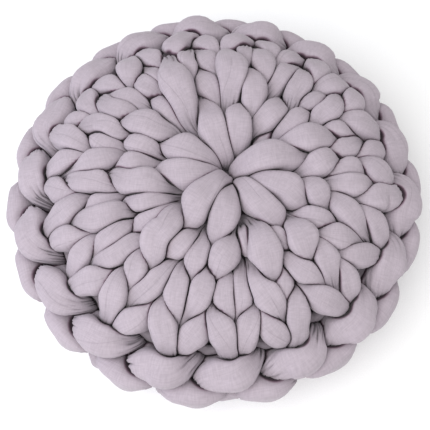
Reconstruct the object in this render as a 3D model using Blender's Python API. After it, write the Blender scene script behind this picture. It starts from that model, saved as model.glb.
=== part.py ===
"""Round hand-knitted throw pillow: a fibre pad inside two knitted faces, joined by a chain-stitch rim.

Metres, +Z up. The pillow rests on z = 0, centred on the Z axis. Angles run clockwise from +Y, as seen from above.
The cover is thick padded tube yarn. Each round of stitches is one ring-shaped solid with a raised lobe for every
leg of yarn, and each link of the rim chain is a solid of its own.
"""

import math

import bmesh
import bpy

# Overall size
RADIUS = 0.225            # out to the tips of the rim links
YARN = 0.029              # thickness of the padded tube yarn
RIM_Z = 0.075             # height of the rim's middle
FACE_EDGE = 0.214         # radius where the two faces' curves would meet
TOP_RISE = 0.077          # yarn middle above FACE_Z at the crown
BOTTOM_DROP = 0.0485      # yarn middle below FACE_Z under the crown
FACE_Z = 0.064
TOP_FULLNESS = 2.2        # exponents of the two domes: a higher one is flatter with a rounder shoulder
BOTTOM_FULLNESS = 3.2
DIMPLE = 0.014            # how far the gathered centre of the top is drawn down
DIMPLE_RADIUS = 0.030
GATHER_X, GATHER_Y = 0.014, 0.003   # the top's stitches are drawn together a little off the middle

# Knit
COVER_DEPTH = 0.030       # outer skin to the inside of the knit
CREASE = 0.0095           # depth of the crease between two legs
EDGE_DEPTH = 0.016        # the same where a face meets the rim, and at the gathered centre
GAP = 0.0014              # clearance on each side of a boundary between two rounds
REST_SINK = 0.0055        # how far the lobes under the pillow are pressed flat
EYE = 0.011               # radius of the hole that the first round is gathered round

# Wales: the direction of each V, in degrees, chosen by hand because hand knitting is uneven
CENTRE_WALES = (-2, 61, 125, 201, 278)
SECOND_WALES = (0, 26, 62, 97, 129, 153, 172, 203, 227, 247, 281, 303, 323)
THIRD_WALES = (0, 24, 45, 62, 83, 101, 128, 148, 167, 184, 205, 225, 243, 261, 281, 296, 317, 334)
OUTER_WALES = (2, 24, 44, 63, 84, 102, 126, 146, 166, 184, 204, 224, 244, 262, 282, 300, 320, 339)

# Each round: its wales, and how far out its V points and the notches between them are, as shares of RADIUS
ROUNDS = (
    (CENTRE_WALES, 0.0, 0.0),
    (SECOND_WALES, 0.30, 0.43),
    (THIRD_WALES, 0.51, 0.60),
    (OUTER_WALES, 0.66, 0.75),
)
TOP_END = 0.85            # outer edge of the last round, as a share of RADIUS
BOTTOM_END = 0.915

# Rim chain
LINKS = 18
RIM_RADIUS = 0.2005       # radius of the rim's middle
RIM_HALF_WIDTH = 0.0245
RIM_HALF_HEIGHT = 0.0260
LINK_LEAN = 0.55          # how far the outer lobe trails the inner one, in links
LINK_GAP = 0.0010
LINK_SIDES = 10

# Pad
PAD_RADIUS = 0.166
PAD_Z = 0.0745            # height of the pad's edge
PAD_RISE = 0.0345
PAD_DROP = 0.0345
CASING = 0.0012
CASING_GAP = 0.0004

# Loops of yarn that gather the first rounds
LOOP_RADIUS = 0.019
LOOP_THICKNESS = 0.008
TOP_LOOP_Z = 0.1160
BOTTOM_LOOP_Z = 0.0285

MAUVE = (0.485, 0.425, 0.480)
COTTON = (0.86, 0.85, 0.82)
FIBRE = (0.93, 0.93, 0.92)


def material(name, colour, roughness):
    made = bpy.data.materials.new(name)
    made.use_nodes = True
    shader = made.node_tree.nodes["Principled BSDF"]
    shader.inputs["Base Color"].default_value = (*colour, 1)
    shader.inputs["Roughness"].default_value = roughness
    shader.inputs["Metallic"].default_value = 0
    return made


def piece(name, points, faces, look):
    """A named object with this mesh, its faces turned outwards and shaded smooth."""
    shape = bmesh.new()
    corners = [shape.verts.new(p) for p in points]
    for face in faces:
        shape.faces.new([corners[i] for i in face])
    bmesh.ops.recalc_face_normals(shape, faces=shape.faces)
    mesh = bpy.data.meshes.new(name)
    shape.to_mesh(mesh)
    shape.free()
    mesh.materials.append(look)
    mesh.shade_smooth()
    made = bpy.data.objects.new(name, mesh)
    bpy.context.scene.collection.objects.link(made)
    return made


def grid_faces(rows, columns, close_rows):
    """Quads over rows x columns points, closed round the columns and, where close_rows is set, the rows too."""
    faces = []
    for row in range(rows if close_rows else rows - 1):
        for column in range(columns):
            below = (row + 1) % rows
            beside = (column + 1) % columns
            faces.append((row * columns + column, row * columns + beside,
                          below * columns + beside, below * columns + column))
    return faces


# The two faces of the pillow

def yarn_middle(angle, share, top):
    """A point on the middle of the yarn's layer. share is the distance from the centre, as a share of RADIUS."""
    radius = share * RADIUS
    out = min(radius / FACE_EDGE, 0.999)
    if top:
        height = FACE_Z + TOP_RISE * math.sqrt(1 - out ** TOP_FULLNESS)
        height -= DIMPLE * math.exp(-((radius / DIMPLE_RADIUS) ** 2))
        drawn = 1 - share ** 1.5
    else:
        height = FACE_Z - BOTTOM_DROP * math.sqrt(1 - out ** BOTTOM_FULLNESS)
        drawn = 0
    return (radius * math.sin(angle) + GATHER_X * drawn,
            radius * math.cos(angle) + GATHER_Y * drawn,
            height)


def face_slope(share, top):
    """Outward and upward parts of the face's normal."""
    step = 0.002
    _, near, low = yarn_middle(0, share - step, top)
    _, far, high = yarn_middle(0, share + step, top)
    run, rise = abs(far - near), high - low
    length = math.hypot(run, rise)
    return (-rise / length, run / length) if top else (rise / length, -run / length)


def off_face(angle, share, height, top):
    """The point this far out from the middle of the yarn's layer."""
    x, y, z = yarn_middle(angle, share, top)
    outward, upward = face_slope(share, top)
    z += upward * height
    return (x + outward * height * math.sin(angle), y + outward * height * math.cos(angle), z)


def wale_edges(wales):
    """The angles of the creases beside the legs: each V's middle, then the crease between it and the next V."""
    edges = []
    for this, following in zip(wales, wales[1:] + (wales[0] + 360,)):
        edges += [this, (this + following) / 2]
    return edges


def boundary(index, angle, end):
    """How far out the line between round index - 1 and round index is, in this direction."""
    if index == 0:
        return EYE / RADIUS
    if index == len(ROUNDS):
        return end
    wales, point, notch = ROUNDS[index]
    edges = wale_edges(wales)
    angle = (angle - edges[0]) % 360 + edges[0]
    closing = edges + [edges[0] + 360]
    for i, (low, high) in enumerate(zip(closing, closing[1:])):
        if low <= angle <= high:
            share = (angle - low) / (high - low)
            towards_notch = share if i % 2 == 0 else 1 - share
            return point + (notch - point) * towards_notch
    return point


def columns_of(index, per_leg):
    """(angle, place across the leg from 0 to 1) of each column of points round this round of stitches."""
    edges = wale_edges(ROUNDS[index][0])
    columns = []
    for low, high in zip(edges, edges[1:] + [edges[0] + 360]):
        columns += [(low + (high - low) * i / per_leg, i / per_leg) for i in range(per_leg)]
    if index + 1 < len(ROUNDS):
        for corner in wale_edges(ROUNDS[index + 1][0]):
            corner = (corner - edges[0]) % 360 + edges[0]
            if all(abs(corner - angle) > 0.05 for angle, _ in columns):
                low = max(edge for edge in edges if edge <= corner)
                high = min([edge for edge in edges if edge > corner] + [edges[0] + 360])
                columns.append((corner, (corner - low) / (high - low)))
    return sorted(columns)


def puff(place):
    """How full a leg is at this place across it: 0 in the crease, 1 on its crest."""
    return math.sqrt(max(0.0, 1 - abs(2 * place - 1) ** 2.6))


def knit_round(name, index, top, look, per_leg, rows):
    """One round of stitches: a closed ring, whose outer skin rises in a lobe for each leg of yarn."""
    end = TOP_END if top else BOTTOM_END
    columns = columns_of(index, per_leg)
    section = rows + 3
    points = []
    for angle, across in columns:
        inner = boundary(index, angle, end) + GAP / RADIUS
        outer = boundary(index + 1, angle, end) - GAP / RADIUS
        turn = math.radians(angle)
        for row in range(rows + 1):
            along = row / rows
            height = YARN / 2 - CREASE * (1 - puff(across) * puff(0.06 + 0.88 * along))
            x, y, z = off_face(turn, inner + (outer - inner) * along, height, top)
            points.append((x, y, z if top else max(z - REST_SINK, 0.0)))
        outer_depth = EDGE_DEPTH if index == len(ROUNDS) - 1 else COVER_DEPTH
        inner_depth = EDGE_DEPTH if index == 0 else COVER_DEPTH
        points.append(off_face(turn, outer, YARN / 2 - outer_depth, top))
        points.append(off_face(turn, inner, YARN / 2 - inner_depth, top))
    return piece(name, points, grid_faces(len(columns), section, close_rows=True), look)


# The rim

def rim_point(turn, around, size):
    """A point of the rim's round section, size times its half-size out from the middle."""
    out = RIM_RADIUS + RIM_HALF_WIDTH * size * math.cos(around)
    height = RIM_Z + RIM_HALF_HEIGHT * size * math.sin(around)
    return (out * math.sin(turn), out * math.cos(turn), height)


def rim_link(number, look):
    """One link of the chain: an inner lobe on top, and an outer one half a link further on, pinched at both ends."""
    stations = (0.0, 0.12, 0.32, 0.60, 0.86, 1.0)
    pinch = (0.66, 0.86, 0.99, 1.0, 0.88, 0.66)
    pitch = math.tau / LINKS
    start = math.radians(OUTER_WALES[0]) + (number + 0.5) * pitch
    gap = LINK_GAP / RIM_RADIUS
    points = []
    for station, size in zip(stations, pinch):
        for side in range(LINK_SIDES):
            around = math.tau * side / LINK_SIDES
            lean = LINK_LEAN * (0.5 + 0.5 * math.cos(around - 0.4))
            along = station * (pitch - gap) + lean * pitch
            crease = 1 - 0.16 * math.exp(-((around - 1.15) / 0.35) ** 2)
            points.append(rim_point(start + along, around, size * crease))
    faces = []
    for row in range(len(stations) - 1):
        for side in range(LINK_SIDES):
            beside = (side + 1) % LINK_SIDES
            faces.append((row * LINK_SIDES + side, row * LINK_SIDES + beside,
                          (row + 1) * LINK_SIDES + beside, (row + 1) * LINK_SIDES + side))
    for row, station in ((0, 0.0), (len(stations) - 1, 1.0)):
        middle = len(points)
        points.append(rim_point(start + station * (pitch - gap) + LINK_LEAN * pitch / 2, 0, 0))
        for side in range(LINK_SIDES):
            faces.append((middle, row * LINK_SIDES + side, row * LINK_SIDES + (side + 1) % LINK_SIDES))
    return piece(f"rim_link_{number + 1:02d}", points, faces, look)


# Inside the cover

def turned(name, profile, look, steps=28):
    """A solid turned round the Z axis from (radius, height) pairs. A pair at radius 0 becomes one point."""
    points = []
    rings = []
    for radius, height in profile:
        if radius == 0:
            rings.append([len(points)])
            points.append((0, 0, height))
            continue
        rings.append(list(range(len(points), len(points) + steps)))
        for i in range(steps):
            turn = math.tau * i / steps
            points.append((radius * math.sin(turn), radius * math.cos(turn), height))
    faces = []
    for upper, lower in zip(rings, rings[1:] + rings[:1]):
        if len(upper) == len(lower) == 1:
            continue
        for i in range(steps):
            j = (i + 1) % steps
            corners = [upper[i % len(upper)], upper[j % len(upper)], lower[j % len(lower)], lower[i % len(lower)]]
            faces.append(tuple(dict.fromkeys(corners)))
    return piece(name, points, faces, look)


def pad_profile(inset, rise, steps=5):
    """(radius, height) pairs from the axis out to the pad's edge."""
    radius = PAD_RADIUS - inset
    height = math.copysign(abs(rise) - inset, rise)
    pairs = []
    for i in range(steps + 1):
        out = math.sin(math.pi / 2 * i / steps)
        pairs.append((radius * out, PAD_Z + height * math.sqrt(1 - out ** 2.4 * 0.9999)))
    return pairs


def pad_casing(name, rise, look):
    """One panel of the casing: a thin bowl whose open side faces the other panel."""
    outside = pad_profile(0, rise)
    inside = pad_profile(CASING, rise)
    clear = math.copysign(CASING_GAP, rise)
    outside[-1] = (outside[-1][0], PAD_Z + clear)
    inside[-1] = (inside[-1][0], PAD_Z + clear)
    return turned(name, outside + inside[::-1], look)


def fibre_fill(look):
    upper = pad_profile(CASING + CASING_GAP, PAD_RISE)
    lower = pad_profile(CASING + CASING_GAP, -PAD_DROP)
    return turned("fibre_fill", upper[:-1] + [(upper[-1][0], PAD_Z)] + lower[-2::-1], look)


def gather_loop(name, height, offset, look):
    """The loop of yarn drawn through the first round of stitches, which lies just outside the pad."""
    bpy.ops.mesh.primitive_torus_add(major_radius=LOOP_RADIUS, minor_radius=LOOP_THICKNESS / 2,
                                     major_segments=18, minor_segments=6, location=(*offset, height))
    made = bpy.context.object
    made.name = name
    made.data.name = name
    made.data.materials.append(look)
    made.data.shade_smooth()
    return made


def build():
    for old in list(bpy.data.objects):
        bpy.data.objects.remove(old)
    yarn = material("mauve_jersey", MAUVE, 0.9)
    cotton = material("white_cotton", COTTON, 0.85)
    fibre = material("fibre", FIBRE, 1.0)
    fibre_fill(fibre)
    pad_casing("pad_casing_top", PAD_RISE, cotton)
    pad_casing("pad_casing_bottom", -PAD_DROP, cotton)
    for index in range(len(ROUNDS)):
        knit_round(f"top_round_{index + 1}", index, True, yarn, per_leg=4, rows=4)
        knit_round(f"bottom_round_{index + 1}", index, False, yarn, per_leg=3, rows=3)
    gather_loop("top_gather_loop", TOP_LOOP_Z, (GATHER_X, GATHER_Y), yarn)
    gather_loop("bottom_gather_loop", BOTTOM_LOOP_Z, (0, 0), yarn)
    for number in range(LINKS):
        rim_link(number, yarn)


build()
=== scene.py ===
import math

import bpy
import numpy as np
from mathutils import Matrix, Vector


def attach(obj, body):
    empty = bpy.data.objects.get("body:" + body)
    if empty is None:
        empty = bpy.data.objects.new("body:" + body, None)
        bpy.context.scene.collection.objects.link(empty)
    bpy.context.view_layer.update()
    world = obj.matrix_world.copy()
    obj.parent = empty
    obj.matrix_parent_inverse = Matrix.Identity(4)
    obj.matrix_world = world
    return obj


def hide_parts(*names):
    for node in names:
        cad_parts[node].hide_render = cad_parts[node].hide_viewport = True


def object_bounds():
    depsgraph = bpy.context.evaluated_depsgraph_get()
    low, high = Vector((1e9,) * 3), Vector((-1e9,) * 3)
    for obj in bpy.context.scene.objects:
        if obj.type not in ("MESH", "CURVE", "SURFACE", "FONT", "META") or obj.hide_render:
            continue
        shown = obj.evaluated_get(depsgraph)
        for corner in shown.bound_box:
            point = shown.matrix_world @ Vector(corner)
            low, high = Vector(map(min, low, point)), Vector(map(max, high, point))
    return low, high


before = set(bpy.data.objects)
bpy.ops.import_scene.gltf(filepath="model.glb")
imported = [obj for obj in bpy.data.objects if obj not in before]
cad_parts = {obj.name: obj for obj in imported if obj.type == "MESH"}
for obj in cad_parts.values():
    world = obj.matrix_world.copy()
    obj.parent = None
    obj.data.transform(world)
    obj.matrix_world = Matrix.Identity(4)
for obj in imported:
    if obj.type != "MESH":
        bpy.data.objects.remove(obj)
cad_low, cad_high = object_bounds()

# --------------------------------------------------------------------------------------------------
# Sizes, in metres
# --------------------------------------------------------------------------------------------------

RADIUS = (cad_high.x - cad_low.x) / 2
CROWN = cad_high.z
LINKS = sum(name.startswith("rim_link_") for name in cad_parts)

LEG = 0.0165              # radius of the padded yarn where nothing presses on it
PINCHED = 0.0055          # its radius where it passes behind other stitches
THINNEST = 0.0012         # the nearest that its skin may come to its middle
MOST_FREE = 1.1           # freedom never goes above this
LAYER = 0.019             # how far the hidden strands lie behind the legs
SKIN_WINDOW = 0.034       # points nearer than this along one strand never press on each other,
SETTLE_WINDOW = 0.039     # and this is the same while the strands settle
SETTLE_REACH = 0.034      # strands further apart than this don't push each other

GAP = 0.0003              # between the skins of strands that press on each other
SWELL = 1.22              # free skin stands out this many radii before its area is put right
FLAT = 0.80               # and this many at most on the outer side of the pillow
IN_BEND = 0.93            # and this share of the way to the middle of the yarn's own bend
HARD = 9.0                # how sharply skin turns from free to pressed
AREA_STEP = (0.93, 1.10)  # how much the size may change in one go to put a section's area right
AREA_RANGE = (0.80, 1.12)           # and altogether
PRESSED_FROM = 0.955      # skin counts as pressed below this share of its free size,
PRESSED_OVER = 0.30       # and fully so when it is this much further in
UNBOUND = 1.0             # a distance that no skin reaches
POINTS_AT_ONCE = 1200     # how many points, or pairs of them, are compared in one go to save memory
PAIRS_AT_ONCE = 60000

PLEAT_DEPTH = 0.0012
PLEAT_COUNTS = (7, 9, 11, 14, 17)   # pleats round the yarn, added up
PLEAT_SLANT = 55          # radians that they turn in a metre, at most
LUMP_DEPTH = 0.00032
# The uneven filling: waves round the yarn, and the radians that they turn in a metre.
LUMP_WAVES = ((1, 95), (2, 140), (2, 60), (3, 210), (0, 175))

FACE_EDGE = 0.951 * RADIUS
FACE_Z = 0.064            # height of the edge where the two faces meet
YARN_BELOW = 0.0125       # the middle of the top's yarn is this far below the crown
TOP_RISE = CROWN - YARN_BELOW - FACE_Z
BOTTOM_DROP = 0.0485
REST = 0.0002             # the pillow's lowest points, just clear of what it lies on
TOP_FULLNESS = 2.2        # 2 makes an elliptical face, and more a flatter one with a rounder edge
BOTTOM_FULLNESS = 2.6
DIMPLE = 0.015
DIMPLE_RADIUS = 0.026
GATHER_X = 0.0155         # where the top's gathered middle is
GATHER_Y = 0.007

# --------------------------------------------------------------------------------------------------
# The knitting, round by round from the middle out. Angles are in degrees, clockwise from +Y, and
# distances are shares of RADIUS. Depths are in LAYERs, and freedom is 0 where the yarn is pinched
# behind other stitches and 1 where it is at its full width.
# --------------------------------------------------------------------------------------------------

# The legs round the middle, in pairs: where each leg starts, its direction, where its end is, and
# how far it sinks.
TOP_MIDDLE = (
    (.060, 343, .405, .05), (.100, 14, .385, .15), (.170, 44, .330, .6), (.030, 77, .390, -.15),
    (.105, 109, .470, .05), (.055, 140, .420, 0), (.050, 185, .400, .05), (.035, 217, .380, -.1),
    (.032, 262, .390, 0), (.050, 294, .370, .05),
)
BOTTOM_MIDDLE = tuple((.06, 36 * i + 5, .38, 0) for i in range(10))
# One of those legs: how far along it is, how much beyond that, its depth and its freedom.
MIDDLE_ROUTE = (
    (0, -.014, .80, .20), (0, .036, .20, .62), (.50, -.014, -.05, 1), (.78, -.014, .12, .62),
    (1, 0, .52, .14),
)
MIDDLE_SINKER = (.045, 1.75)        # distance and depth of the yarn between two pairs
MIDDLE_UNEVEN = .06                 # how much those legs differ in depth

# Each V stitch: its point's angle and distance, then its left and its right leg: angle, end and
# how far it sinks.
TOP_SECOND = (
    (0, .30, (352, .66, .1), (6, .70, -.3)), (26, .22, (16, .70, -.2), (41, .50, .1)),
    (62, .24, (53, .58, 0), (71, .60, 0)), (97, .31, (79, .60, 0), (107, .54, .35)),
    (129, .36, (122, .64, .1), (136, .63, 0)), (153, .28, (143, .54, .3), (152, .61, -.1)),
    (170, .28, (162, .46, .3), (190, .57, 0)), (203, .30, (197, .58, 0), (213, .54, .15)),
    (229, .25, (218, .60, -.1), (232, .56, .25)), (245, .26, (252, .53, .1), (268, .56, 0)),
    (281, .29, (272, .56, 0), (290, .54, 0)), (307, .27, (301, .58, 0), (312, .56, .3)),
    (320, .26, (322, .60, .1), (338, .70, -.3)),
)
# A leg from its point to its end: how far across and along it is, how much beyond that, its depth
# and its freedom.
LEG_ROUTE = (
    (0, 0, -.040, .98, 0), (0, 0, .015, .50, .18), (.25, .25, 0, .08, .70), (.48, .48, 0, -.08, 1.02),
    (.75, .75, 0, .10, .50), (1, 1, -.010, .52, .08), (1, 1, .035, .98, 0),
)
# The same for the last rounds, whose legs are still plump where they go under the rim.
LAST_ROUTE = {
    "top": LEG_ROUTE[:4] + ((.75, .75, 0, .04, .80), (1, 1, -.010, .40, .50), (1, 1, .030, .92, .46)),
    "bottom": LEG_ROUTE[:4] + ((.75, .75, 0, .02, .94), (1, 1, -.010, .34, .74), (1, 1, .025, .84, .50)),
}
# How plump the legs of the second, third and fourth rounds are.
PLUMP = {"top": (.88, .72, .74), "bottom": (.88, .78, .94)}
MEET = 0.28               # how far each leg's end leans to the neighbouring stitch's
UNEVEN = (1.9, .018, .18, .10)      # how much legs differ: angle, end, depth, freedom
FOOT = 0.0040             # metres from a stitch's point to the start of each leg
HEAD = (.055, 1.1)        # how far beyond the legs' ends their hidden loop is, and its depth
SINKER = (.065, 1.05)     # how far before the points the hidden yarn between them is, and its depth
SPREAD = .45              # a leg's share of the way from its wale to the next one
THIRD_WALES = (0, 24, 45, 62, 83, 101, 128, 148, 167, 184, 205, 225, 243, 261, 281, 296, 317, 334)
FOURTH_WALES = tuple(round(.5 * wale + .5 * (20 * i + 4)) for i, wale in enumerate(THIRD_WALES))


def even_round(points, near, wales, end):
    """V stitches whose points are at these angles, spreading to share the outer edge by these wales."""
    stitches = []
    for i, (point, wale) in enumerate(zip(points, wales)):
        before, after = (wale - wales[i - 1]) % 360, (wales[(i + 1) % len(wales)] - wale) % 360
        left, right = (wale - SPREAD * before, end, 0), (wale + SPREAD * after, end, 0)
        stitches.append((point, near, left, right))
    return tuple(stitches)


def even_wales(count, start):
    return tuple(start + 360 / count * i for i in range(count))


TOP_ROUNDS = (
    TOP_SECOND,
    even_round(THIRD_WALES, .425, THIRD_WALES, .765),
    even_round(THIRD_WALES, .580, FOURTH_WALES, .828),
)
BOTTOM_ROUNDS = (
    even_round(even_wales(13, 7), .270, even_wales(13, 7), .600),
    even_round(even_wales(18, 3), .440, even_wales(18, 3), .775),
    even_round(even_wales(18, 5), .620, even_wales(18, 5), .905),
)

# One link of the rim's chain: (along, across, up). along is in links, anticlockwise; across is from
# the inner side, -1, to the outer one, 1, and up is from the underside to the top. The first eight
# points make the lobe that lies on top, the next four go back under it, and the rest make the
# outline's scallop.
LINK_ROUTE = (
    (-.08, .34, -.60), (-.10, .26, .25), (.00, .08, .95), (.16, -.12, 1.28),
    (.36, -.30, 1.36), (.57, -.44, 1.12), (.75, -.58, .50), (.84, -.62, -.35),
    (.85, -.52, -.95), (.72, -.10, -1.25), (.58, .35, -1.25), (.50, .80, -.75),
    (.53, 1.02, -.05), (.72, 1.14, .30), (.95, 1.12, .24), (1.14, .94, -.10), (1.20, .55, -.60),
    (1.06, .35, -.80),
)
LINK_FREE = (
    .12, .22, .60, .92, .98, .74, .34, .14, .20, .38, .40, .50, .74, .95, .92, .56, .22, .12,
)
LINK_UNEVEN = (.03, .09, .09)       # how much links differ: along, across, up
CHAIN_START = 2.0         # degrees
CHAIN_RADIUS = 0.1905
CHAIN_Z = 0.0820
CHAIN_TILT = math.radians(-28)
CHAIN_HALF_WIDTH = 0.0180
CHAIN_HALF_DEPTH = 0.0115

YARN_COLOUR = (0.421, 0.363, 0.409, 1)
# Painted shade: the darker colour that the yarn is given in its creases, where its skin is pressed against
# another strand.
CREASE_SHADE_COLOUR = (0.37, 0.215, 0.30, 1)
# Painted shade: how each value that the skin carries darkens the jersey's colour to stand in for the shade
# in its creases,
# pinches and pleats: where that starts, where it ends, and what share of the light is left there. pressed
# is against another strand, pinched is how tight the yarn is, and pleated is in a pleat.
PAINTED_SHADE = {"pressed": (0.24, 0.88, 0.13), "pinched": (0.25, 1.0, 0.74), "pleated": (0.25, 0.95, 0.42)}
CASING_COLOUR = (0.20, 0.17, 0.19)
FIBRE_COLOUR = (0.80, 0.79, 0.77)
FLOOR_COLOUR = (0.97, 0.97, 0.97)
SEAM_START = 0.004        # where the seam is, round the tube, before it wanders
SEAM_WANDER = 0.16
SEAM_WIDTH = 0.0011       # half of it
RIB_PITCH = 0.00115       # the jersey's ribs run along the tube,
COURSE_PITCH = 0.00125    # and its courses run across it

COARSE_STEP = 0.0055      # spacing of the yarn's points while it settles
FINE_STEP = 0.0030
SIDES = 56

draw = np.random.default_rng(11)


# --------------------------------------------------------------------------------------------------
# Yarn paths
# --------------------------------------------------------------------------------------------------

def face_point(angle, share, top):
    """Points on the middle of the yarn's layer."""
    radius = share * RADIUS
    out = np.clip(radius / FACE_EDGE, 0, 0.9995)
    if top:
        dimple = DIMPLE * np.exp(-(radius / DIMPLE_RADIUS) ** 2)
        z = FACE_Z + TOP_RISE * np.sqrt(1 - out ** TOP_FULLNESS) - dimple
        drawn = 1 - np.clip(share, 0, 1) ** 1.5
    else:
        z = FACE_Z - BOTTOM_DROP * np.sqrt(1 - out ** BOTTOM_FULLNESS)
        drawn = 0 * share
    x, y = radius * np.sin(angle) + GATHER_X * drawn, radius * np.cos(angle) + GATHER_Y * drawn
    return np.stack([x, y, z], -1)


def face_normal(angle, share, top):
    step = 2e-3
    share = np.maximum(share, 0.02)
    near, far = face_point(0 * angle, share - step, top), face_point(0 * angle, share + step, top)
    run, rise = np.abs(far[:, 1] - near[:, 1]), far[:, 2] - near[:, 2]
    length = np.hypot(run, rise) * (1 if top else -1)
    lean = -rise / length
    return np.stack([lean * np.sin(angle), lean * np.cos(angle), run / length], -1)


def uneven(size):
    """A small hand-made difference."""
    return draw.uniform(-size, size)


def halfway(angle, other):
    """The angle halfway on from this one to the other, clockwise."""
    return angle + ((other - angle) % 360) / 2


def turned(angle, other):
    """How far the other angle is from this one, from -180 to 180."""
    return (other - angle + 180) % 360 - 180


def knit_path(keys, top):
    """The closed path through (angle, share, depth, freedom) keys, as chain_path gives it."""
    keys = np.array(keys)
    keys[:, 0] = np.unwrap(np.radians(keys[:, 0]))
    turn = 2 * math.pi * round((keys[-1, 0] - keys[0, 0]) / (2 * math.pi))
    keys[:, 0] -= turn * np.arange(len(keys)) / len(keys)
    keys = smooth_closed(keys, 6)
    keys[:, 0] += turn * np.arange(len(keys)) / len(keys)
    angle, share = keys[:, 0], np.clip(keys[:, 1], 0.012, FACE_EDGE / RADIUS - 0.008)
    normal = face_normal(angle, share, top)
    path = face_point(angle, share, top) - normal * (LAYER * keys[:, 2:3])
    return path, normal, np.clip(keys[:, 3], 0, MOST_FREE)


def middle_round(legs, top):
    """The first round, whose legs start in a ring round the gathered middle."""
    keys = []
    for i, (start, angle, end, sunk) in enumerate(legs):
        sunk += uneven(MIDDLE_UNEVEN)
        leg = [(angle, start + along * (end - start) + beyond, depth + sunk, free)
               for along, beyond, depth, free in MIDDLE_ROUTE]
        if i % 2:
            keys += leg[::-1]
            continue
        _, beside, beside_end, _ = legs[i + 1]
        keys.append((angle - ((angle - legs[i - 1][1]) % 360) / 2, *MIDDLE_SINKER, 0))
        keys += leg
        keys.append((halfway(angle, beside), (end + beside_end) / 2 + HEAD[0], HEAD[1], 0))
    return knit_path(keys, top)


def knit_round(stitches, top, plump, route):
    """One round of V stitches, joined by hidden loops at their heads and sinkers at their feet."""
    keys = []
    foot_before, sinker_depth = SINKER
    head_beyond, head_depth = HEAD
    for i, (point, near, *legs) in enumerate(stitches):
        last = stitches[i - 1]
        sinker = point - ((point - last[0]) % 360) / 2
        keys.append((sinker, (near + last[1]) / 2 - foot_before, sinker_depth, 0))
        made = []
        beside = (last[3][0], stitches[(i + 1) % len(stitches)][2][0])
        for side, neighbour, (angle, end, sunk) in zip((-1, 1), beside, legs):
            angle += MEET * turned(angle, neighbour)
            start = point + side * math.degrees(FOOT / (near * RADIUS))
            tilt, longer, deeper, fatter = draw.uniform(-1, 1, 4) * UNEVEN
            swing, reach = turned(start, angle + tilt), end + longer - near
            sunk = sunk + deeper
            made.append([
                (start + across * swing, near + along * reach + beyond, depth + sunk,
                 plump * free * (1 + fatter))
                for across, along, beyond, depth, free in route
            ])
        middle = (made[0][-1][0] + made[1][-1][0]) / 2
        head = (middle, (legs[0][1] + legs[1][1]) / 2 + head_beyond, head_depth, route[-1][-1])
        keys += made[0] + [head] + made[1][::-1]
    return knit_path(keys, top)


def smooth_closed(points, between):
    """The closed curve through these points, with this many points on each span (Catmull-Rom)."""
    a, b, c, d = (np.roll(points, -j, 0)[:, None, :] for j in (-1, 0, 1, 2))
    t = (np.arange(between) / between)[None, :, None]
    curve = .5 * (2 * b + (c - a) * t + (2 * a - 5 * b + 4 * c - d) * t ** 2
                  + (-a + 3 * b - 3 * c + d) * t ** 3)
    return curve.reshape(-1, points.shape[1])


def chain_path():
    """The rim's chain as one closed path: points, outward directions, freedom."""
    route = np.array([
        [value + uneven(size) for value, size in zip((link + along, across, up), LINK_UNEVEN)]
        for link in range(LINKS) for along, across, up in LINK_ROUTE
    ])
    angle = np.radians(CHAIN_START) - route[:, 0] * 2 * math.pi / LINKS
    cos, sin = math.cos(CHAIN_TILT), math.sin(CHAIN_TILT)
    across, up = route[:, 1] * CHAIN_HALF_WIDTH, route[:, 2] * CHAIN_HALF_DEPTH
    radius = CHAIN_RADIUS + cos * across - sin * up
    z = CHAIN_Z + sin * across + cos * up
    sideways, upwards = route[:, 1], route[:, 2] + .4
    outward = np.stack([cos * sideways - sin * upwards, sin * sideways + cos * upwards], -1)
    outward /= np.linalg.norm(outward, axis=1, keepdims=True)
    free = np.tile(LINK_FREE, LINKS)
    table = np.stack([
        radius * np.sin(angle), radius * np.cos(angle), z,
        outward[:, 0] * np.sin(angle), outward[:, 0] * np.cos(angle), outward[:, 1], free,
    ], -1)
    table = smooth_closed(table, 4)
    return table[:, :3], table[:, 3:6], table[:, 6]


def resample(path, outward, free, step):
    """The closed path again with evenly spaced points."""
    curve = smooth_closed(np.concatenate([path, outward, free[:, None]], 1), 8)
    length = np.linalg.norm(np.roll(curve, -1, 0)[:, :3] - curve[:, :3], axis=1)
    reached = np.concatenate([[0], np.cumsum(length)])
    count = int(round(reached[-1] / step))
    wanted = np.arange(count) * reached[-1] / count
    closed = np.concatenate([curve, curve[:1]])
    even = np.stack([np.interp(wanted, reached, closed[:, k]) for k in range(closed.shape[1])], 1)
    even[:, 3:6] /= np.linalg.norm(even[:, 3:6], axis=1, keepdims=True)
    return even[:, :3], even[:, 3:6], np.clip(even[:, 6], 0, MOST_FREE)


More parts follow.
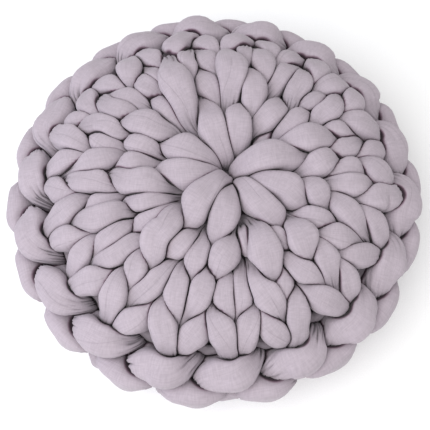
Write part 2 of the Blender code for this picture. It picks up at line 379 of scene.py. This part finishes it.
class Strands:
    """All the yarn, as closed strands joined end to end in flat arrays."""

    def __init__(self, named):
        self.names = list(named)
        sizes = [len(named[name][0]) for name in self.names]
        self.path, self.outward, self.free = (
            np.concatenate([named[name][k] for name in self.names]) for k in range(3))
        self.owner = np.repeat(np.arange(len(sizes)), sizes)
        start = np.cumsum([0] + sizes[:-1])[self.owner]
        self.count = np.array(sizes)[self.owner]
        self.place = np.arange(len(self.path)) - start
        self.after = start + (self.place + 1) % self.count
        self.before = start + (self.place - 1) % self.count
        self.radius = PINCHED + (LEG - PINCHED) * self.free

    def strand(self, name):
        return np.nonzero(self.owner == self.names.index(name))[0]

    def part(self, name):
        """One strand on its own again: points, outward directions, freedom."""
        rows = self.strand(name)
        return self.path[rows], self.outward[rows], self.free[rows]

    def step(self):
        return np.linalg.norm(self.path[self.after] - self.path, axis=1)

    def near(self, reach, window):
        """Pairs of points within reach, other than those within window metres along one strand."""
        first, second = [], []
        square = (self.path ** 2).sum(1)
        step = self.step().mean()
        for low in range(0, len(self.path), POINTS_AT_ONCE):
            part = self.path[low:low + POINTS_AT_ONCE]
            far = square[low:low + POINTS_AT_ONCE, None] + square[None, :] - 2 * part @ self.path.T
            i, j = np.nonzero(far < reach ** 2)
            i += low
            keep = i < j
            i, j = i[keep], j[keep]
            gap = np.abs(self.place[i] - self.place[j])
            gap = np.minimum(gap, self.count[i] - gap)
            keep = (self.owner[i] != self.owner[j]) | (gap * step > window)
            first.append(i[keep])
            second.append(j[keep])
        return np.concatenate(first), np.concatenate(second)

    def settle(self, rounds=8, inner=6, squash=0.66, anchor=0.06, stiff=0.12, push=0.28, share=0.45):
        """Lets strands push each other apart until none is pressed to less than squash of its width."""
        home = self.path.copy()
        for _ in range(rounds):
            i, j = self.near(SETTLE_REACH, SETTLE_WINDOW)
            for _ in range(inner):
                apart = self.path[j] - self.path[i]
                length = np.linalg.norm(apart, axis=1)
                short = np.maximum(squash * (self.radius[i] + self.radius[j]) - length, 0)
                move = apart * (push * short / np.maximum(length, 1e-6))[:, None]
                total, touches = np.zeros_like(self.path), np.zeros(len(self.path))
                np.add.at(total, j, move)
                np.add.at(total, i, -move)
                np.add.at(touches, j, short > 0)
                np.add.at(touches, i, short > 0)
                self.path += total / np.maximum(1, touches * share)[:, None]
                beside = self.path[self.after] + self.path[self.before]
                self.path += stiff * (beside / 2 - self.path)
                self.path += anchor * (home - self.path)

    def rays(self, sides):
        """Each point's directions across the yarn, starting outwards, with no sudden twist along it."""
        along = self.path[self.after] - self.path[self.before]
        along /= np.linalg.norm(along, axis=1, keepdims=True)
        out = self.outward - (self.outward * along).sum(1, keepdims=True) * along
        for _ in range(6):
            out = out + .5 * (out[self.after] + out[self.before])
            out -= (out * along).sum(1, keepdims=True) * along
            out /= np.maximum(np.linalg.norm(out, axis=1, keepdims=True), 1e-9)
        around, sideways = circle(sides)[None, :, None], np.cross(along, out)[:, None, :]
        return np.cos(around) * out[:, None, :] + np.sin(around) * sideways

    def touching(self, reach):
        """Pairs of points within reach, both ways round and in the order of the first one."""
        i, j = self.near(reach, SKIN_WINDOW)
        first, second = np.concatenate([i, j]), np.concatenate([j, i])
        order = np.argsort(first, kind="stable")
        return first[order], second[order]


def circle(sides):
    return 2 * np.pi * np.arange(sides) / sides


def reaches(distance, heading, least):
    """How far a ray goes to a plane this far off, or UNBOUND if it hardly heads for it."""
    return np.where(heading > least, distance / np.maximum(heading, least), UNBOUND)


def beside_others(yarn, rays, radius, first, second):
    """How far skin may go along each ray before it meets the plane between two strands."""
    room = np.full(rays.shape[:2], UNBOUND)
    towards = yarn.path[second] - yarn.path[first]
    far = (towards ** 2).sum(1)
    close = np.nonzero((radius[first] + radius[second]) ** 2 > far)[0]
    for low in range(0, len(close), PAIRS_AT_ONCE):
        k = close[low:low + PAIRS_AT_ONCE]
        facing = np.einsum("ksc,kc->ks", rays[first[k]], towards[k])
        plane = far[k] * radius[first[k]] / (radius[first[k]] + radius[second[k]])
        reach = reaches(plane[:, None], facing, 1e-5) - GAP
        starts = np.concatenate([[0], np.nonzero(np.diff(first[k]))[0] + 1])
        rows = first[k][starts]
        room[rows] = np.minimum(room[rows], np.minimum.reduceat(reach, starts, axis=0))
    return room


def squeeze(yarn, rays):
    """How far the skin is from the yarn's middle along each ray, and how hard it is pressed there.

    The yarn is soft, so where two strands would share the same room the skin of each stops at the
    plane between them, and it swells where nothing is in its way until its section has its full area
    again.
    """
    sides = rays.shape[1]
    first, second = yarn.touching(2 * LEG * SWELL * MOST_FREE)
    bend = yarn.path[yarn.after] + yarn.path[yarn.before] - 2 * yarn.path
    inward = np.einsum("psc,pc->ps", rays, bend / (yarn.step() ** 2)[:, None])
    outward = np.cos(circle(sides))[None, :]
    size = yarn.radius.copy()
    for _ in range(4):
        radius = (size * SWELL)[:, None]
        contact = beside_others(yarn, rays, radius[:, 0], first, second)
        room = np.minimum(contact, reaches(IN_BEND, inward, 1e-3))
        room = np.minimum(room, reaches(FLAT * radius, outward, 0.05))
        room = np.minimum(room, reaches(yarn.path[:, 2:3], -rays[..., 2], 1e-3))
        room = np.maximum(room, THINNEST)
        skin = (radius ** -HARD + room ** -HARD) ** (-1 / HARD)
        area = .5 * (skin ** 2).sum(1) * 2 * np.pi / sides
        size = size * np.clip(np.sqrt(math.pi * yarn.radius ** 2 / area), *AREA_STEP)
        size = np.clip(size, AREA_RANGE[0] * yarn.radius, AREA_RANGE[1] * yarn.radius)
        for _ in range(3):
            size = .5 * size + .25 * (size[yarn.after] + size[yarn.before])
    pressed = np.clip((PRESSED_FROM * radius - contact) / (PRESSED_OVER * radius), 0, 1)
    skin = .5 * skin + .25 * (skin[yarn.after] + skin[yarn.before])
    skin = .6 * skin + .2 * (np.roll(skin, 1, 1) + np.roll(skin, -1, 1))
    return skin, pressed


def folds(yarn, sides):
    """How far pleats, where the yarn is gathered tight, and uneven filling draw the skin in.

    The second result is how deep in a pleat the skin is, from 0 to 1.
    """
    around = circle(sides)[None, :]
    length = (yarn.place * yarn.step().mean())[:, None]
    seed = np.random.default_rng(29)
    pleats, lumps = np.zeros((len(length), sides)), np.zeros((len(length), sides))
    for count in PLEAT_COUNTS:
        slant, phase = seed.uniform(-PLEAT_SLANT, PLEAT_SLANT), seed.uniform(0, 6.28)
        swell = .5 + .5 * np.sin(length * seed.uniform(90, 170) + seed.uniform(0, 6.28))
        wave = np.cos(count * around + slant * length + phase + 1.5 * np.sin(60 * length + phase))
        pleats += swell * np.maximum(wave, 0) ** 3
    for count, turn in LUMP_WAVES:
        lumps += np.cos(count * around + turn * length + seed.uniform(0, 6.28))
    # The faces' legs are gathered where other stitches hide their ends, and the rim at every crossing.
    free = yarn.free[:, None]
    on_faces = np.clip((0.64 - free) / 0.46, 0, 1) * np.clip(free / 0.06, 0, 1) + 0.05
    on_rim = 1.4 * np.clip((0.92 - free) / 0.50, 0, 1) + 0.08
    chained = yarn.names.index("rim_chain") == yarn.owner[:, None]
    pleats *= np.where(chained, on_rim, on_faces)
    return PLEAT_DEPTH * pleats + LUMP_DEPTH * lumps, np.clip(0.55 * pleats, 0, 1)


# --------------------------------------------------------------------------------------------------
# Meshes
# --------------------------------------------------------------------------------------------------

def tube(name, yarn, rays, skin, shade_masks, look):
    """The strand as a closed tube, with the distance along and around it, in metres, as its UV map.

    The values given for its material, one for each corner of the skin, are masks for the material's painted
    shade.
    """
    rows = yarn.strand(name)
    count, sides = len(rows), skin.shape[1]
    corners = yarn.path[rows][:, None, :] + rays[rows] * skin[rows][:, :, None]
    corners[:, :, 2] = np.maximum(corners[:, :, 2], REST)
    here = np.arange(count)[:, None] * sides + np.arange(sides)[None, :]
    beside, ahead = np.roll(here, -1, 1), np.roll(here, -1, 0)
    quads = np.stack([here, beside, np.roll(ahead, -1, 1), ahead], -1).reshape(-1, 4)
    mesh = bpy.data.meshes.new(name)
    mesh.vertices.add(count * sides)
    mesh.vertices.foreach_set("co", corners.reshape(-1))
    mesh.loops.add(quads.size)
    mesh.loops.foreach_set("vertex_index", quads.reshape(-1))
    mesh.polygons.add(len(quads))
    mesh.polygons.foreach_set("loop_start", np.arange(len(quads)) * 4)
    mesh.update(calc_edges=True)
    mesh.shade_smooth()
    length = np.concatenate([[0], np.cumsum(yarn.step()[rows])])
    u = np.stack([length[:-1], length[:-1], length[1:], length[1:]], -1)
    side = np.arange(sides) / sides
    v = np.stack([side, side + 1 / sides, side + 1 / sides, side], -1) * 2 * math.pi * LEG
    uv = np.stack([u[:, None, :].repeat(sides, 1), v[None, :, :].repeat(count, 0)], -1)
    mesh.uv_layers.new(name="yarn").data.foreach_set("uv", uv.reshape(-1))
    for label, values in shade_masks.items():
        data = mesh.attributes.new(label, "FLOAT", "POINT").data
        data.foreach_set("value", values[rows].reshape(-1).astype(np.float32))
    mesh.materials.append(look)
    made = bpy.data.objects.new(name, mesh)
    bpy.context.scene.collection.objects.link(made)
    return made


# --------------------------------------------------------------------------------------------------
# Materials
# --------------------------------------------------------------------------------------------------

def add(tree, kind, settings=(), **inputs):
    """A shader node with its settings. Its inputs are set to numbers and colours, or linked to sockets."""
    made = tree.nodes.new(kind)
    for name, value in dict(settings).items():
        setattr(made, name, value)
    for name, value in inputs.items():
        place = int(name[1:]) if name[1:].isdigit() else name.replace("_", " ")
        if isinstance(value, bpy.types.NodeSocket):
            tree.links.new(value, made.inputs[place])
        else:
            made.inputs[place].default_value = value
    return made


def maths(tree, operation, first, second=0.0):
    return add(tree, "ShaderNodeMath", {"operation": operation}, _0=first, _1=second).outputs[0]


def ramp(tree, value, low, high, out_low=0.0, out_high=1.0):
    return add(tree, "ShaderNodeMapRange", {"interpolation_type": "SMOOTHSTEP"}, Value=value,
               From_Min=low, From_Max=high, To_Min=out_low, To_Max=out_high).outputs[0]


def noise(tree, place, scale, detail=2.0):
    mapped = add(tree, "ShaderNodeMapping", Vector=place, Scale=scale).outputs[0]
    return add(tree, "ShaderNodeTexNoise", Vector=mapped, Scale=1.0, Detail=detail).outputs["Fac"]


def seam_line(tree, across, place):
    """1 on the tube's wandering seam, and 0 away from it."""
    wander = maths(tree, "SUBTRACT", noise(tree, place, (4, 0, 1), 0.0), 0.5)
    seam_at = maths(tree, "MULTIPLY", wander, SEAM_WANDER)
    from_start = maths(tree, "SUBTRACT", across, SEAM_START)
    gap = maths(tree, "ABSOLUTE", maths(tree, "SUBTRACT", from_start, seam_at))
    return ramp(tree, gap, 0.0, SEAM_WIDTH, 1.0, 0.0)


def jersey():
    """Fine cotton jersey: ribs along the tube, slubs across it, a seam, and painted shade in its creases,
    pinches and pleats.
    """
    made = bpy.data.materials.new("mauve_jersey")
    made.use_nodes = True
    tree = made.node_tree
    shader = tree.nodes["Principled BSDF"]
    place = add(tree, "ShaderNodeUVMap", {"uv_map": "yarn"}).outputs[0]
    length, across, _ = add(tree, "ShaderNodeSeparateXYZ", Vector=place).outputs
    shade_masks = {label: add(tree, "ShaderNodeAttribute", {"attribute_name": label}).outputs["Fac"]
             for label in PAINTED_SHADE}
    seam = seam_line(tree, across, place)

    slub_along, slub_across = noise(tree, place, (90, 900, 1)), noise(tree, place, (800, 110, 1))
    weave = maths(tree, "ADD", maths(tree, "MULTIPLY", slub_along, 0.5),
                  maths(tree, "MULTIPLY", slub_across, 0.5))
    patches = noise(tree, place, (26, 40, 1), 3.0)
    light = maths(tree, "ADD", ramp(tree, weave, 0.30, 0.70, 0.90, 1.08),
                  ramp(tree, patches, 0.25, 0.75, -0.04, 0.04))
    # Painted shade: the colour is darker where the skin is pressed, pinched or pleated, in place of the
    # shade that falls there.
    for label, (low, high, darkest) in PAINTED_SHADE.items():
        light = maths(tree, "MULTIPLY", light, ramp(tree, shade_masks[label], low, high, 1.0, darkest))
    light = maths(tree, "MULTIPLY", light,
                  maths(tree, "SUBTRACT", 1.0, maths(tree, "MULTIPLY", seam, 0.10)))
    # Painted crease shade: the yarn's colour goes towards the crease shade colour where its skin is
    # pressed.
    crease_shaded_colour = add(tree, "ShaderNodeMix", {"data_type": "RGBA"}, _6=YARN_COLOUR, _7=CREASE_SHADE_COLOUR,
               _0=ramp(tree, shade_masks["pressed"], 0.20, 0.85)).outputs[2]
    colour = add(tree, "ShaderNodeVectorMath", {"operation": "SCALE"}, _0=crease_shaded_colour, Scale=light)
    tree.links.new(colour.outputs[0], shader.inputs["Base Color"])
    shader.inputs["Roughness"].default_value = 0.86
    shader.inputs["Specular IOR Level"].default_value = 0.28
    shader.inputs["Sheen Weight"].default_value = 0.16
    shader.inputs["Sheen Roughness"].default_value = 0.45

    rib, course = (maths(tree, "SINE", maths(tree, "MULTIPLY", run, 2 * math.pi / pitch))
                   for run, pitch in ((across, RIB_PITCH), (length, COURSE_PITCH)))
    grain = maths(tree, "ADD", maths(tree, "MULTIPLY", rib, 0.18), maths(tree, "MULTIPLY", course, 0.12))
    grain = maths(tree, "ADD", grain, maths(tree, "MULTIPLY", weave, 1.5))
    grain = maths(tree, "SUBTRACT", grain, maths(tree, "MULTIPLY", seam, 1.2))
    bump = add(tree, "ShaderNodeBump", Strength=0.55, Distance=0.0004, Height=grain).outputs[0]
    tree.links.new(bump, shader.inputs["Normal"])
    return made


def plain(name, colour, scale):
    """A matt surface with a faint mottle."""
    made = bpy.data.materials.new(name)
    made.use_nodes = True
    tree = made.node_tree
    shader = tree.nodes["Principled BSDF"]
    place = add(tree, "ShaderNodeTexCoord").outputs["Object"]
    mottle = add(tree, "ShaderNodeTexNoise", Vector=place, Scale=scale, Detail=4.0).outputs["Fac"]
    shade = add(tree, "ShaderNodeVectorMath", {"operation": "SCALE"}, _0=colour,
                Scale=ramp(tree, mottle, 0.3, 0.7, 0.97, 1.03)).outputs[0]
    tree.links.new(shade, shader.inputs["Base Color"])
    shader.inputs["Roughness"].default_value = 0.9
    bump = add(tree, "ShaderNodeBump", Strength=0.2, Distance=0.0005, Height=mottle).outputs[0]
    tree.links.new(bump, shader.inputs["Normal"])
    return made


# --------------------------------------------------------------------------------------------------
# The pillow
# --------------------------------------------------------------------------------------------------

def cover_paths():
    """Every strand of the cover, by name: points, outward directions, freedom."""
    named = {}
    for side, middle, rounds in (("top", TOP_MIDDLE, TOP_ROUNDS), ("bottom", BOTTOM_MIDDLE, BOTTOM_ROUNDS)):
        named[f"{side}_knit_1"] = middle_round(middle, side == "top")
        for index, stitches in enumerate(rounds):
            route = LAST_ROUTE[side] if index == 2 else LEG_ROUTE
            made = knit_round(stitches, side == "top", PLUMP[side][index], route)
            named[f"{side}_knit_{index + 2}"] = made
    named["rim_chain"] = chain_path()
    return named


def make_cover(look):
    yarn = Strands({name: resample(*path, COARSE_STEP) for name, path in cover_paths().items()})
    yarn.settle()
    yarn = Strands({name: resample(*yarn.part(name), FINE_STEP) for name in yarn.names})
    rays = yarn.rays(SIDES)
    skin, pressed = squeeze(yarn, rays)
    drawn, pleated = folds(yarn, SIDES)
    skin = np.maximum(skin - drawn, THINNEST)
    pinched = (1 - yarn.free)[:, None].repeat(SIDES, 1)
    # Masks for the painted shade in the jersey: pressed skin, pinched yarn and pleats.
    shade_masks = {"pressed": pressed, "pinched": pinched, "pleated": pleated}
    for name in yarn.names:
        made = tube(name, yarn, rays, skin, shade_masks, look)
        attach(made, "root")
        if name == "rim_chain":
            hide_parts(*[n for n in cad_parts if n.startswith("rim_link_")])
        else:
            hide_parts(name.replace("knit", "round"))


def dress_inside(yarn_look):
    """Gives the pad and the gather loops, which stay CAD pieces, their materials."""
    casing = plain("cotton_casing", CASING_COLOUR, 900.0)
    fibre = plain("polyester_fibre", FIBRE_COLOUR, 300.0)
    looks = {"gather_loop": yarn_look, "pad_casing": casing, "fibre_fill": fibre}
    for name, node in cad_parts.items():
        for kind in looks:
            if kind in name:
                for held in node.material_slots:
                    held.material = looks[kind]


jersey_look = jersey()
make_cover(jersey_look)
dress_inside(jersey_look)

# --------------------------------------------------------------------------------------------------
# Floor, light and camera
# --------------------------------------------------------------------------------------------------

WORLD_STRENGTH = 0.70
# The area lights: energy, size, place and colour.
LIGHTS = {
    "key": (22.5, 1.5, (-.47, -.70, 1.6), (1, 1, 1)),
    "side": (6.6, 1.2, (-1.5, -.1, .75), (0.72, 0.79, 1.0)),
}
LIGHTS_TARGET = Vector((0, 0, .05))
CAMERA_TARGET = Vector((0.001, -0.0166, 0.066))
CAMERA_DISTANCE = 3.8 * RADIUS
CAMERA_ELEVATION = math.radians(69.2)
CAMERA_SENSOR = 36
SHOWN_WIDTH = 2 * RADIUS * 1.054    # what the picture's width spans at the camera's target


def aim(made, target):
    made.rotation_euler = (target - made.location).to_track_quat("-Z", "Y").to_euler()


def area_light(name, energy, size, place, colour):
    made = bpy.data.objects.new(name, bpy.data.lights.new(name, "AREA"))
    made.data.energy, made.data.size, made.data.color = energy, size, colour
    made.location = place
    aim(made, LIGHTS_TARGET)
    bpy.context.scene.collection.objects.link(made)


bpy.ops.mesh.primitive_plane_add(size=8)
floor = bpy.context.object
floor.name = "floor"
floor.data.materials.append(plain("floor", FLOOR_COLOUR, 900.0))

camera = bpy.data.objects.new("camera", bpy.data.cameras.new("camera"))
bpy.context.scene.collection.objects.link(camera)
away = Vector((0, -math.cos(CAMERA_ELEVATION), math.sin(CAMERA_ELEVATION)))
camera.location = CAMERA_TARGET + CAMERA_DISTANCE * away
aim(camera, CAMERA_TARGET)
camera.data.sensor_width = CAMERA_SENSOR
camera.data.lens = CAMERA_SENSOR * CAMERA_DISTANCE / SHOWN_WIDTH
bpy.context.scene.camera = camera

world = bpy.data.worlds.new("studio")
world.use_nodes = True
world.node_tree.nodes["Background"].inputs["Color"].default_value = (1, 1, 1, 1)
world.node_tree.nodes["Background"].inputs["Strength"].default_value = WORLD_STRENGTH
bpy.context.scene.world = world
for name, light in LIGHTS.items():
    area_light(name, *light)
bpy.context.scene.view_settings.view_transform = "Standard"
